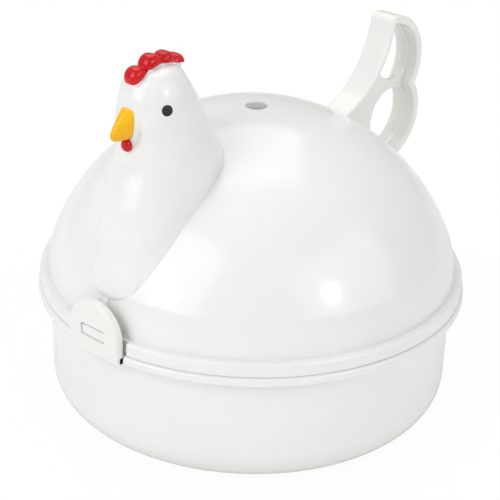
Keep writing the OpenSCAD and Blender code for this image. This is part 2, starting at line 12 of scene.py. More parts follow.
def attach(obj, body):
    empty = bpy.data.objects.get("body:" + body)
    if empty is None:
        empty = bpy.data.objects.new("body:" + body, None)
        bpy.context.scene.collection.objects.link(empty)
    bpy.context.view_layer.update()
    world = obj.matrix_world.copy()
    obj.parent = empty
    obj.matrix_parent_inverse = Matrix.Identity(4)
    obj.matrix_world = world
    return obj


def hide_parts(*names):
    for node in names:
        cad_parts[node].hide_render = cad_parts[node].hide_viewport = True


bl_info = {
    "name": "Hen Egg Cooker",
    "version": (1, 0, 0),
    "blender": (4, 5, 0),
    "location": "View3D > Sidebar > Egg Cooker",
    "description": "Finishes a hen-shaped microwave egg cooker and sets its stage",
    "category": "Object",
}

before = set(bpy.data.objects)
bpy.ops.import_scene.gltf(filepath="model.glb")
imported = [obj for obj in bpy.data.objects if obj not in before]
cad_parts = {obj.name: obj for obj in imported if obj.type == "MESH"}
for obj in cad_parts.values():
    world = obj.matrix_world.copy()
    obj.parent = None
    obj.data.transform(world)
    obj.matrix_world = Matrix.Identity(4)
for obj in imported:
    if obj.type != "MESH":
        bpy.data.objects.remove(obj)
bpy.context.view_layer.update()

# The tables of sizes below are in millimetres. A place on the head is given by its distance
# from the middle plane, its distance in from the dome's front edge ("in") and its height above
# the breast's tip.
MM = 0.001
TINY = 1e-6

# Lid: the dome's widest radius, the skirt's top, the height of the breast's tip, and the arcs
# of the dome's shoulder and crown (centre's radius and height, radius), which meet at MEET_R
DOME_R = 74.3
SKIRT_TOP = 50.2
BREAST_Z = 61.5
SHOULDER = (41.1, 50.2, 33.2)
CROWN = (0.0, 32.42, 77.98)
MEET_R = 71.57

# Small flat on the edges of bars, rims and sleeves
CHAMFER = 0.2

# Screws under the dome: side (-1 front, 1 rear), how far in each one stands, shank's length
SCREWS = {"head_screws": (-1, (13.0, 40.0), 12.0), "tail_screws": (1, (7.5, 24.2), 6.2)}


# ---- Sizes and colours that a user may change


class CookerSizes(PropertyGroup):
    tail_round: FloatProperty(
        name="Tail edges", description="Rounding of the tail straps' edges",
        default=0.9 * MM, unit="LENGTH")
    latch_round: FloatProperty(
        name="Latch edges", description="Rounding of the latches' front edges",
        default=1.0 * MM, unit="LENGTH")
    cheek_depth: FloatProperty(
        name="Cheek", description="How far the cheeks stand out over the neck",
        default=0.25 * MM, unit="LENGTH")
    comb_half: FloatProperty(
        name="Comb half width", description="Half the width of the comb's lobes",
        default=3.3 * MM, unit="LENGTH")
    beak_half: FloatProperty(
        name="Beak half width", description="Half the width of the beak at its root",
        default=3.4 * MM, unit="LENGTH")
    wattle_half: FloatProperty(
        name="Wattle half width", description="Half the width of the wattle",
        default=2.15 * MM, unit="LENGTH")
    eye_radius: FloatProperty(
        name="Eye radius", description="Radius of the eyes",
        default=1.85 * MM, unit="LENGTH")
    screw_recess: FloatProperty(
        name="Screw recess", description="Depth of the cross in a screw's head",
        default=0.9 * MM, unit="LENGTH")


class CookerColours(PropertyGroup):
    shell: FloatVectorProperty(
        name="Shell", description="Colour of the white moulded plastic",
        default=(0.87, 0.87, 0.86), size=3, min=0, max=1, subtype="COLOR")
    comb: FloatVectorProperty(
        name="Comb", description="Colour of the comb and the wattle",
        default=(0.7, 0.001, 0.006), size=3, min=0, max=1, subtype="COLOR")
    beak: FloatVectorProperty(
        name="Beak", description="Colour of the beak",
        default=(0.95, 0.55, 0.003), size=3, min=0, max=1, subtype="COLOR")
    eye: FloatVectorProperty(
        name="Eyes", description="Colour of the eyes",
        default=(0.006, 0.006, 0.006), size=3, min=0, max=1, subtype="COLOR")
    sheet: FloatVectorProperty(
        name="Sheet metal", description="Colour of the egg tray and the lid's liner",
        default=(0.72, 0.73, 0.74), size=3, min=0, max=1, subtype="COLOR")
    steel: FloatVectorProperty(
        name="Screws", description="Colour of the screws",
        default=(0.5, 0.51, 0.53), size=3, min=0, max=1, subtype="COLOR")
    floor: FloatVectorProperty(
        name="Floor", description="Colour of the floor",
        default=(0.9, 0.9, 0.9), size=3, min=0, max=1, subtype="COLOR")


def sizes():
    return bpy.context.scene.cooker_sizes


def colours():
    return bpy.context.scene.cooker_colours


# ---- Nodes and materials


def tree_node(tree, kind, **settings):
    node = tree.nodes.new(kind)
    for key, value in settings.items():
        setattr(node, key, value)
    return node


def set_inputs(node, **values):
    """Sets a node's own inputs; an underscore in a name stands for a space."""
    for key, value in values.items():
        node.inputs[key.replace("_", " ")].default_value = value


def join_all(tree, *pairs):
    for out, into in pairs:
        tree.links.new(out, into)


class Finish:
    """A material with its shader, and short ways to add and join nodes."""

    def __init__(self, name):
        self.material = bpy.data.materials.new(name)
        self.material.use_nodes = True
        self.tree = self.material.node_tree
        self.shader = self.tree.nodes["Principled BSDF"]
        self.place = self.add("ShaderNodeTexCoord").outputs["Object"]

    def add(self, kind, **settings):
        return tree_node(self.tree, kind, **settings)

    def join(self, out, into):
        self.tree.links.new(out, into)

    def noise(self, scale, detail=2.0, roughness=0.5, place=None):
        node = self.add("ShaderNodeTexNoise")
        set_inputs(node, Scale=scale, Detail=detail, Roughness=roughness)
        self.join(place or self.place, node.inputs["Vector"])
        return node.outputs["Fac"]

    def spread(self, value, low, high, to_low, to_high, smooth=False):
        """The value's range from low to high, stretched to another range."""
        node = self.add(
            "ShaderNodeMapRange", interpolation_type="SMOOTHSTEP" if smooth else "LINEAR")
        set_inputs(node, From_Min=low, From_Max=high, To_Min=to_low, To_Max=to_high)
        self.join(value, node.inputs["Value"])
        return node.outputs["Result"]

    def blend(self, factor, first, second):
        """From the first colour to the second; each is a socket or a plain colour."""
        node = self.add("ShaderNodeMix", data_type="RGBA")
        self.join(factor, node.inputs["Factor"])
        for key, colour in (("A", first), ("B", second)):
            socket = [s for s in node.inputs if s.name == key and s.type == "RGBA"][0]
            if hasattr(colour, "is_linked"):
                self.join(colour, socket)
            else:
                socket.default_value = (*colour, 1)
        return [s for s in node.outputs if s.type == "RGBA"][0]

    def surface(self, colour, grain, low, high):
        """The colour, and a roughness that wanders from low to high with the grain."""
        self.join(colour, self.shader.inputs["Base Color"])
        self.join(self.spread(grain, 0.3, 0.7, low, high), self.shader.inputs["Roughness"])

    def bump(self, height, distance, strength):
        """Small unevenness, its distance in millimetres."""
        node = self.add("ShaderNodeBump")
        set_inputs(node, Distance=distance * MM, Strength=strength)
        self.join(height, node.inputs["Height"])
        self.join(node.outputs["Normal"], self.shader.inputs["Normal"])


def shade(colour, factor):
    return tuple(min(1, c * factor) for c in colour)


def moulded_white(name, colour):
    """Glossy moulded plastic: a slight unevenness of tone and gloss, and a few dark specks."""
    finish = Finish(name)
    uneven = finish.spread(finish.noise(22, 3), 0.35, 0.65, 0, 1, smooth=True)
    tone = finish.blend(uneven, shade(colour, 0.975), colour)
    cells = finish.add("ShaderNodeTexVoronoi", feature="F1")
    set_inputs(cells, Scale=27)
    finish.join(finish.place, cells.inputs["Vector"])
    speck = finish.spread(cells.outputs["Distance"], 0.006, 0.009, 0.55, 0)
    speckled = finish.blend(speck, tone, (0.16, 0.13, 0.10))
    finish.surface(speckled, finish.noise(75, 4), 0.15, 0.21)
    finish.bump(finish.noise(260, 2), 0.012, 0.5)
    set_inputs(finish.shader, IOR=1.55)
    return finish.material


def comb_gloss(name, colour):
    """Glossy red plastic with shallow moulded ripples, and painted shade: a darker red in their
    hollows.
    """
    finish = Finish(name)
    ripple = finish.noise(300, 3, 0.6)
    rise = finish.spread(ripple, 0.35, 0.62, 0, 1, smooth=True)
    # Painted shade: the red darkens in the ripples' hollows, standing in for shade in creases.
    tone = finish.blend(rise, shade(colour, 0.72), colour)
    finish.surface(tone, finish.noise(420, 2), 0.08, 0.16)
    finish.bump(ripple, 0.1, 0.5)
    set_inputs(finish.shader, IOR=1.5, Specular_IOR_Level=0.4)
    return finish.material


def beak_gloss(name, colour):
    """Yellow plastic that deepens to orange towards its lower edge."""
    finish = Finish(name)
    red, green, blue = colour
    parts = finish.add("ShaderNodeSeparateXYZ")
    finish.join(finish.place, parts.inputs["Vector"])
    low, high = (BREAST_Z + 53) * MM, (BREAST_Z + 64) * MM
    rise = finish.spread(parts.outputs["Z"], low, high, 0, 1, smooth=True)
    tone = finish.blend(rise, (red * 0.93, green * 0.78, blue), colour)
    streak = finish.spread(finish.noise(330, 3), 0.3, 0.7, 0, 0.35)
    streaked = finish.blend(streak, tone, (red, green * 0.82, blue))
    finish.surface(streaked, finish.noise(500, 2), 0.1, 0.17)
    finish.bump(finish.noise(600, 2), 0.02, 0.5)
    set_inputs(finish.shader, IOR=1.5, Specular_IOR_Level=0.38)
    return finish.material


def satin_black(name, colour):
    """Satin black plastic with a fine grain."""
    finish = Finish(name)
    tone = finish.blend(finish.noise(900, 2), colour, shade(colour, 2.2))
    finish.surface(tone, finish.noise(1200, 2), 0.5, 0.6)
    finish.bump(finish.noise(1500, 1), 0.01, 0.5)
    set_inputs(finish.shader, IOR=1.5)
    return finish.material


def pressed_sheet(name, colour, roughness):
    """Satin pressed metal with fine rolling lines and faint smudges."""
    finish = Finish(name)
    stretch = finish.add("ShaderNodeMapping")
    set_inputs(stretch, Scale=(1, 0.04, 0.4))
    finish.join(finish.place, stretch.inputs["Vector"])
    lines = finish.noise(1600, 3, 0.6, stretch.outputs["Vector"])
    smudge = finish.noise(45, 4)
    tone = finish.blend(finish.spread(smudge, 0.3, 0.7, 0, 1), shade(colour, 0.9), colour)
    finish.surface(tone, smudge, roughness + 0.08, roughness)
    finish.bump(lines, 0.012, 0.6)
    set_inputs(finish.shader, Metallic=1.0)
    return finish.material


def dress(node, material):
    """A better finish on a frame piece that stays as it is."""
    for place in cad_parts[node].material_slots:
        place.material = material


# ---- Making pieces


def link_new(name, data):
    piece = bpy.data.objects.new(name, data)
    bpy.context.scene.collection.objects.link(piece)
    return piece


def as_mesh(piece):
    """The piece's shape with its modifiers, as a plain mesh; the piece itself is removed."""
    bpy.context.view_layer.update()
    ready = piece.evaluated_get(bpy.context.evaluated_depsgraph_get())
    mesh = bpy.data.meshes.new_from_object(ready)
    bpy.data.objects.remove(piece)
    return mesh


def settle(name, mesh, body, material, nodes=(), crease=35, flats=False):
    """Links a finished piece that stands in place, with its finish, body and frame nodes.

    Edges sharper than the crease's angle stay sharp; flats keeps broad faces shaded flat."""
    mesh.materials.clear()
    mesh.materials.append(material)
    for face in mesh.polygons:
        face.material_index = 0
    mesh.shade_smooth()
    mesh.set_sharp_from_angle(angle=math.radians(crease))
    if flats:
        holder = link_new(name + " flats", mesh)
        even = holder.modifiers.new("even", "WEIGHTED_NORMAL")
        even.keep_sharp = True
        mesh = as_mesh(holder)
    piece = link_new(name, mesh)
    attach(piece, body)
    if nodes:
        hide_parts(*nodes)


def mesh_from(bm, name):
    bmesh.ops.remove_doubles(bm, verts=bm.verts, dist=1e-7)
    bmesh.ops.recalc_face_normals(bm, faces=bm.faces)
    mesh = bpy.data.meshes.new(name)
    bm.to_mesh(mesh)
    bm.free()
    return mesh


def add_rings(bm, rings, close_start=True, close_end=True):
    """Skins closed rings of points, with a fan to the middle at each closed end."""
    rows = [[bm.verts.new(p) for p in ring] for ring in rings]
    count = len(rings[0])
    for low, high in zip(rows, rows[1:]):
        for k in range(count):
            bm.faces.new((low[k], low[(k + 1) % count], high[(k + 1) % count], high[k]))
    for row, wanted in ((rows[0], close_start), (rows[-1], close_end)):
        if wanted:
            middle = bm.verts.new(sum((v.co for v in row), Vector()) / count)
            for k in range(count):
                bm.faces.new((row[k], row[(k + 1) % count], middle))


def ring_mesh(name, rings, close_start=True, close_end=True):
    """A mesh of one skin over rings."""
    bm = bmesh.new()
    add_rings(bm, rings, close_start, close_end)
    return mesh_from(bm, name)


def pattern_tree(name, pattern, widths=()):
    """A tree that sets a pattern on each point; also its inputs' keys, its start and its copier."""
    tree = bpy.data.node_groups.new(name, "GeometryNodeTree")
    inputs = [("Geometry", "NodeSocketGeometry"), (pattern, "NodeSocketObject")]
    inputs += [(width, "NodeSocketFloat") for width in widths]
    inputs += [("Material", "NodeSocketMaterial")]
    keys = {}
    for label, kind in inputs:
        keys[label] = tree.interface.new_socket(label, in_out="INPUT", socket_type=kind).identifier
    tree.interface.new_socket("Geometry", in_out="OUTPUT", socket_type="NodeSocketGeometry")
    start = tree_node(tree, "NodeGroupInput")
    end = tree_node(tree, "NodeGroupOutput")
    shape = tree_node(tree, "GeometryNodeObjectInfo")
    copier = tree_node(tree, "GeometryNodeInstanceOnPoints")
    real = tree_node(tree, "GeometryNodeRealizeInstances")
    finish = tree_node(tree, "GeometryNodeSetMaterial")
    join_all(
        tree,
        (start.outputs["Geometry"], copier.inputs["Points"]),
        (start.outputs[pattern], shape.inputs["Object"]),
        (shape.outputs["Geometry"], copier.inputs["Instance"]),
        (copier.outputs["Instances"], real.inputs["Geometry"]),
        (real.outputs["Geometry"], finish.inputs["Geometry"]),
        (start.outputs["Material"], finish.inputs["Material"]),
        (finish.outputs["Geometry"], end.inputs["Geometry"]))
    return tree, keys, start, copier


def on_points(name, spots, attribute, tree, inputs):
    """What a tree makes on points that carry an attribute (name, kind, values), as a mesh."""
    label, kind, values = attribute
    points = bpy.data.meshes.new(name)
    points.from_pydata(spots, [], [])
    layer = points.attributes.new(label, kind, "POINT")
    for item, value in zip(layer.data, values):
        setattr(item, "vector" if kind == "FLOAT_VECTOR" else "value", value)
    holder = link_new(name, points)
    copies = holder.modifiers.new("copies", "NODES")
    copies.node_group = tree
    for key, value in inputs.items():
        copies[key] = value
    return as_mesh(holder)


# ---- Places and curves


def mm(x, y, z):
    return Vector((x, y, z)) * MM


def on_head(x, inward, height):
    """A place on the head, from millimetres to the frame's metres."""
    return mm(x, inward - DOME_R, height + BREAST_Z)


def compass(count):
    """Cosine and sine of evenly spaced directions."""
    turns = [2 * math.pi * k / count for k in range(count)]
    return [(math.cos(a), math.sin(a)) for a in turns]


def turned(profile, count):
    """Rings about Z through the points (radius, height) of a profile."""
    return [[mm(r * c, r * s, z) for c, s in compass(count)] for r, z in profile]


def quarter(rounding):
    """A quarter round, as steps in from the side and down from the top."""
    turns = [math.pi / 2 * k / 6 for k in range(7)]
    return [(rounding * (1 - math.cos(a)), rounding * (1 - math.sin(a))) for a in turns]


def boxy(value, power):
    """A cosine or sine raised to a power with its sign kept: below 1 a circle squares up."""
    return math.copysign(abs(value) ** power, value)


def smooth_step(value, low, high):
    """Eases from 0 at low to 1 at high; low may be the larger one."""
    t = min(1, max(0, (value - low) / (high - low)))
    return t * t * (3 - 2 * t)


def catmull(rows, u):
    """The row at a place along a smooth curve through all the rows."""
    i = min(int(u), len(rows) - 2)
    t = u - i
    a, b, c, d = (rows[max(i - 1, 0)], rows[i], rows[i + 1], rows[min(i + 2, len(rows) - 1)])
    return [
        0.5 * (2 * q + (r - p) * t
               + (2 * p - 5 * q + 4 * r - s) * t * t + (3 * q - p - 3 * r + s) * t**3)
        for p, q, r, s in zip(a, b, c, d)
    ]


def between(rows, key):
    """The other columns of a table at a value of its first one, in straight steps."""
    if key <= rows[0][0]:
        return rows[0][1:]
    for low, high in zip(rows, rows[1:]):
        if key <= high[0]:
            t = (key - low[0]) / (high[0] - low[0])
            return [p + (q - p) * t for p, q in zip(low[1:], high[1:])]
    return rows[-1][1:]


def dome_height(radius):
    """Height of the dome's face at a radius, in millimetres."""
    x, z, r = CROWN if radius < MEET_R else SHOULDER
    return z + math.sqrt(max(0, r * r - (radius - x) ** 2))


def above_dome(point):
    """Distance of a point in millimetres from the dome's face, positive outside."""
    radius = math.hypot(point[0], point[1])
    if point[2] < SKIRT_TOP:
        return radius - DOME_R
    x, z, r = CROWN
    if math.atan2(point[2] - z, radius) <= math.acos(MEET_R / r):
        x, z, r = SHOULDER
    return math.hypot(radius - x, point[2] - z) - r


def on_dome(side, inward):
    """A place on the dome's face in the middle plane, and the turn about X that faces it."""
    radius = DOME_R - inward
    x, _, r = CROWN if radius < MEET_R else SHOULDER
    tilt = side * (math.acos((radius - x) / r) - math.pi / 2)
    return mm(0, side * radius, dome_height(radius)), tilt


# ---- Head

# Height, front and back (both in from the dome's edge) and half width
HEAD_ROWS = [
    (-9, 10, 26, 6), (0, 2, 18, 9), (4.5, 2.3, 21, 13.4), (12.5, 3.6, 26, 14.8),
    (20.5, 3.7, 32, 15.6), (28.5, 5, 40, 16.2), (36.5, 8, 47, 17), (44.5, 11, 49.8, 16.6),
    (51.5, 11.7, 45.5, 14.8), (58.5, 11.1, 42.1, 13.3), (64.5, 11.5, 39.1, 12.3),
    (69.5, 12.9, 36, 10.8), (73.4, 15, 33.6, 8.6), (75.2, 18, 31.2, 6.2), (76, 22, 28, 3),
]
# Height of the shell's lower edge over the dome's face, and its flare's width and height
HEAD_SINK = -0.8
HEAD_FLARE = (0.7, 2.4)
# White crest under the comb: its top line (in, height), the height inside the head where it
# starts, and how boxy it is
CREST_LINE = [(12.5, 72.1), (14.9, 73.6), (17.6, 75.6), (23.4, 77.1), (28.8, 76.5), (33.4, 75.2)]
CREST_LOW = 71.5
CREST_BOXY = 0.35
# Crease between the face and the cheek: height, half distance apart, depth and width
CREASE_ROWS = [
    (50.5, 1.8, 0.0, 1.0), (51.7, 2.2, 0.5, 1.0), (53.3, 3.3, 1.2, 1.05), (55.0, 4.4, 1.5, 1.0),
    (56.6, 4.9, 1.1, 0.9), (59.6, 4.6, 0.5, 0.8), (62.0, 4.0, 0.25, 0.8), (64.5, 3.1, 0.0, 0.8),
]
# Cheek: the heights between which it rises, those between which it fades, and the half widths
# between which it fades to the side
CHEEK_RISE = (54.4, 55.3)
CHEEK_FADE = (56.5, 66)
CHEEK_SIDE = (9, 13.2)


def cheek(x, h):
    """How far the cheek stands out here, less the crease that parts it from the face."""
    x = abs(x)
    pad = smooth_step(h, *CHEEK_RISE) * (1 - smooth_step(h, *CHEEK_FADE))
    pad *= 1 - smooth_step(x, *CHEEK_SIDE)
    apart, depth, width = between(CREASE_ROWS, h)
    crease = depth * math.exp(-(((x - apart) / width) ** 2))
    return pad * smooth_step(x, apart - 0.5, apart + 1.5) * sizes().cheek_depth / MM - crease


def head_point(u, turn):
    """A point in millimetres on the head's face, with the cheeks on its front."""
    h, front, back, half = catmull(HEAD_ROWS, u)
    middle, depth = (front + back) / 2, (back - front) / 2
    x, y = half * math.cos(turn), middle + depth * math.sin(turn)
    if math.sin(turn) < 0.3:
        out = Vector((x / half**2, (y - middle) / depth**2)).normalized()
        swell = cheek(x, h)
        x += swell * out.x
        y += swell * out.y
    return x, y - DOME_R, h + BREAST_Z


def flared(point, turn):
    """The point, moved outwards a little where the head runs out onto the dome."""
    wide, high = HEAD_FLARE
    share = 1 - min(1, max(0, above_dome(point)) / high)
    out = Vector((math.cos(turn), math.sin(turn), 0)) * wide * share * share
    return (Vector(point) + out) * MM


def head_column(turn, count):
    """Points from the dome's face up to the crown of the head, on one side angle."""
    top, steps = len(HEAD_ROWS) - 1, 560

    def sunk(u):
        return above_dome(head_point(u, turn)) < HEAD_SINK

    low = next((k for k in range(steps, -1, -1) if sunk(top * k / steps)), 0)
    start, end = top * low / steps, top * (low + 1) / steps
    for _ in range(20):
        middle = (start + end) / 2
        if sunk(middle):
            start = middle
        else:
            end = middle
    places = [end + (top - end) * k / (count - 1) for k in range(count)]
    return [flared(head_point(u, turn), turn) for u in places]


def crest_rings():
    """The narrow white ridge that the comb stands on, with a straight rear end."""
    rings, steps = [], 32
    start, end = CREST_LINE[0][0] + 0.4, CREST_LINE[-1][0]
    half = sizes().comb_half / MM - 0.3
    for k in range(steps + 1):
        inward = start + (end - start) * k / steps
        top = between(CREST_LINE, inward)[0]
        middle, tall = (CREST_LOW + top) / 2, (top - CREST_LOW) / 2
        inset = CHAMFER if k in (0, steps) else 0
        rings.append([
            on_head(
                boxy(c, CREST_BOXY) * (half - inset), inward,
                middle + boxy(s, CREST_BOXY) * (tall - inset))
            for c, s in compass(28)
        ])
    return rings


class COOKER_OT_head(Operator):
    """Make the hen's head and neck as one smooth shell on the dome"""

    bl_idname = "cooker.head"
    bl_label = "Head"

    def execute(self, context):
        white = bpy.data.materials["white plastic"]
        sides, count = 160, 150
        columns = [head_column(2 * math.pi * k / sides, count) for k in range(sides)]
        bm = bmesh.new()
        add_rings(bm, list(zip(*columns)), close_start=False)
        add_rings(bm, crest_rings())
        mesh = mesh_from(bm, "head")
        settle("head", mesh, "lid", white, ("head_shell",), 50)
        return {"FINISHED"}


# ---- Comb, beak and wattle

# Comb's lobes from front to rear: in, height and radius; and how boxy a lobe is
COMB_LOBES = [(15.6, 73.7, 3.6), (21.8, 76.4, 3.75), (27.8, 76.3, 3.5), (32.6, 74.9, 3.1)]
LOBE_BOXY = 0.7
# Beak from its top down: height, front and share of its half width; its back is in the face
BEAK_ROWS = [
    (64.4, 12.3, 0.6), (64.1, 11.0, 0.82), (63.3, 9.8, 0.98), (61.6, 8.3, 1.02), (59.3, 6.5, 1.0),
    (57.0, 5.1, 0.9), (55.3, 5.2, 0.74), (54.4, 6.4, 0.56), (54.0, 8.5, 0.38),
]
BEAK_BACK = 14.5
BEAK_BOXY = 0.9
BEAK_RIDGE = 0.07
# Wattle: in, top and length
WATTLE = (11.2, 54.1, 4.6)


def comb_tree():
    """Lobes on the points of a line, each as tall as its own radius."""
    tree, keys, start, copier = pattern_tree("Comb lobes", "Lobe", ["Half Width"])
    tall = tree_node(tree, "GeometryNodeInputNamedAttribute", data_type="FLOAT")
    set_inputs(tall, Name="lobe_radius")
    size = tree_node(tree, "ShaderNodeCombineXYZ")
    join_all(
        tree,
        (start.outputs["Half Width"], size.inputs["X"]),
        (tall.outputs["Attribute"], size.inputs["Y"]),
        (tall.outputs["Attribute"], size.inputs["Z"]),
        (size.outputs["Vector"], copier.inputs["Scale"]))
    return tree, keys


def lobe_pattern():
    """A disc of unit size with well rounded edges, standing across X."""
    rings = []
    for k in range(1, 36):
        t = math.pi * k / 36
        x, r = -boxy(math.cos(t), LOBE_BOXY), math.sin(t) ** LOBE_BOXY
        rings.append([Vector((x, r * c, r * s)) for c, s in compass(72)])
    return link_new("lobe", ring_mesh("lobe", rings))


def remeshed(mesh, voxel, rounds):
    """The mesh's outer skin as even small faces, smoothed a little."""
    piece = link_new("remesh", mesh)
    skin = piece.modifiers.new("skin", "REMESH")
    skin.mode = "VOXEL"
    skin.voxel_size = voxel
    soften = piece.modifiers.new("soften", "SMOOTH")
    soften.factor = 0.5
    soften.iterations = rounds
    return as_mesh(piece)


class COOKER_OT_comb(Operator):
    """Make the comb from lobes along its line, joined into one skin"""

    bl_idname = "cooker.comb"
    bl_label = "Comb"

    def execute(self, context):
        red = bpy.data.materials["red plastic"]
        line = [(0, (y - DOME_R) * MM, (h + BREAST_Z) * MM) for y, h, _ in COMB_LOBES]
        radii = [radius * MM for _, _, radius in COMB_LOBES]
        tree, keys = comb_tree()
        pattern = lobe_pattern()
        lobes = on_points("comb line", line, ("lobe_radius", "FLOAT", radii), tree, {
            keys["Lobe"]: pattern, keys["Half Width"]: sizes().comb_half, keys["Material"]: red})
        bpy.data.objects.remove(pattern)
        mesh = remeshed(lobes, 0.18 * MM, 2)
        for vert in mesh.vertices:
            seat = between(CREST_LINE, vert.co.y / MM + DOME_R)[0] + BREAST_Z - 0.05
            vert.co.z = max(vert.co.z, seat * MM)
        settle("comb", mesh, "lid", red, ("comb",), 80)
        return {"FINISHED"}


class COOKER_OT_beak(Operator):
    """Make the drooping beak with its ridge"""

    bl_idname = "cooker.beak"
    bl_label = "Beak"

    def execute(self, context):
        yellow = bpy.data.materials["yellow plastic"]
        half = sizes().beak_half / MM
        rings = []
        for k in range(8 * (len(BEAK_ROWS) - 1) + 1):
            h, front, share = catmull(BEAK_ROWS, k / 8)
            ring = []
            for c, s in compass(56):
                ridge = 1 + BEAK_RIDGE * max(0, -s) ** 8
                inward = BEAK_BACK + (BEAK_BACK - front) * s * ridge
                ring.append(on_head(boxy(c, BEAK_BOXY) * half * share, inward, h))
            rings.append(ring)
        mesh = ring_mesh("beak", rings)
        settle("beak", mesh, "lid", yellow, ("beak",), 60)
        return {"FINISHED"}


class COOKER_OT_wattle(Operator):
    """Make the drop-shaped wattle below the beak"""

    bl_idname = "cooker.wattle"
    bl_label = "Wattle"

    def execute(self, context):
        red = bpy.data.materials["red plastic"]
        half = sizes().wattle_half / MM
        inward, top, length = WATTLE
        rings = []
        for k in range(1, 32):
            t = math.pi * k / 32
            r = half * math.sin(t) ** 0.85 * (0.8 + 0.2 * smooth_step(k, 6, 26))
            deep = r * (0.72 + 0.28 * smooth_step(k, 30, 8))
            h = top - length * (1 - math.cos(t)) / 2
            rings.append([on_head(r * c, inward + deep * s, h) for c, s in compass(36)])
        mesh = ring_mesh("wattle", rings)
        settle("wattle", mesh, "lid", red, ("wattle",), 60)
        return {"FINISHED"}


# ---- Eyes

# In, height, distance from the middle plane, turn about Z and tilt in degrees
EYE = (18.8, 64.4, 10.85, 25, 77)
# How far the middle stands out of the head, and how deep the edge goes in, as a share of that
EYE_RISE = 0.28
EYE_ROOT = 1.5


class COOKER_OT_eyes(Operator):
    """Make the eyes as thin domed discs that follow the head's face"""

    bl_idname = "cooker.eyes"
    bl_label = "Eyes"

    def execute(self, context):
        black = bpy.data.materials["black plastic"]
        for node, side in (("left_eye", 1), ("right_eye", -1)):
            settle(node + "_disc", self.disc(side), "lid", black, (node,), 50)
        return {"FINISHED"}

    def disc(self, side):
        head = bpy.data.objects["head"]
        inward, h, out, turn, tilt = EYE
        place = (
            Matrix.Translation(on_head(side * out, inward, h))
            @ Matrix.Rotation(-side * math.radians(turn), 4, "Z")
            @ Matrix.Rotation(side * math.radians(tilt), 4, "Y"))
        down = (place.to_3x3() @ Vector((0, 0, -1))).normalized()
        turns = [math.pi / 2 * k / 9 for k in range(10)]
        rows = [(0.02 + 0.98 * math.sin(a), math.cos(a)) for a in turns] + [(1, -EYE_ROOT)]
        rings = []
        for share, rise in rows:
            r = sizes().eye_radius * share
            ring = []
            for c, s in compass(48):
                found, spot, _, _ = head.ray_cast(place @ Vector((r * c, r * s, 5 * MM)), down)
                if not found:
                    raise RuntimeError("the eye misses the head")
                ring.append(spot - down * EYE_RISE * rise * MM)
            rings.append(ring)
        return ring_mesh("eye", rings)


# ---- Tail handle

# The tail's seat behind the axis and above the base; its other places are counted from there
TAIL_SEAT = (58.3, 84.21)
# Circles of the outer faces (centre's place rearwards and up, radius), the rear strap's foot,
# and the angle in degrees at which the lower lobe runs out into a straight line to that foot
TAIL_FRONT = (-24.5, 47.9, 37.9)
TAIL_UPPER = (14.6, 25.0, 19.3)
TAIL_LOWER = (17.1, 3.4, 17.3)
TAIL_FOOT = (10.7, -22.0)
TAIL_RUNOUT = 33
# Straps: width, thickness of the front and the rear one, and the tip's outer and inner rounding
STRAP_WIDTH = 11
STRAP_DEPTHS = (2.2, 3.2)
STRAP_TIP = (3, 0.5)
# Web: how far its edge lies inside the straps, its thickness and its edges' rounding
WEB = (0.6, 2.2, 0.5)
# Windows (centre and radius), and how far they stay from the front and the rear outer face
UPPER_WINDOW = (21.3, 27.8, 10.8)
LOWER_WINDOW = (20.7, 1.3, 11.8)
WINDOW_LIPS = (2.7, 3.7)
# Posts for the screws: radius, height and rounding
TAIL_POST = (2.6, 4, 0.6)

# Turns a flat outline's plane into the middle plane
ACROSS_X = Matrix(((0, 0, 1, 0), (1, 0, 0, 0), (0, 1, 0, 0), (0, 0, 0, 1)))


def crossing(a, b, upper):
    """Where two circles (x, z, radius) cross: the upper or the lower point."""
    d = math.hypot(b[0] - a[0], b[1] - a[1])
    along = (d * d + a[2] ** 2 - b[2] ** 2) / (2 * d)
    side = math.sqrt(a[2] ** 2 - along**2)
    ux, uz = (b[0] - a[0]) / d, (b[1] - a[1]) / d
    points = [
        (a[0] + along * ux - s * side * uz, a[1] + along * uz + s * side * ux) for s in (1, -1)]
    return max(points, key=lambda p: p[1] if upper else -p[1])


def arc(circle, start, end, count, clockwise=True):
    """Points on a circle from one point to another."""
    x, z, r = circle
    a = math.atan2(start[1] - z, start[0] - x)
    b = math.atan2(end[1] - z, end[0] - x)
    if clockwise and b > a:
        b -= 2 * math.pi
    if not clockwise and b < a:
        b += 2 * math.pi
    turns = [a + (b - a) * k / count for k in range(count + 1)]
    return [(x + r * math.cos(t), z + r * math.sin(t)) for t in turns]


def straight(start, end, count):
    """Points on a line from one point to another, without the first."""
    return [
        tuple(p + (q - p) * k / count for p, q in zip(start, end)) for k in range(1, count + 1)]


def moved_to(distance, centre, point):
    """The point, moved to a distance from a centre."""
    away = math.hypot(point[0] - centre[0], point[1] - centre[1])
    return tuple(c + (p - c) * distance / away for c, p in zip(centre, point))


def over_dome(point):
    return above_dome((0, point[0] + TAIL_SEAT[0], point[1] + TAIL_SEAT[1])) > -0.1


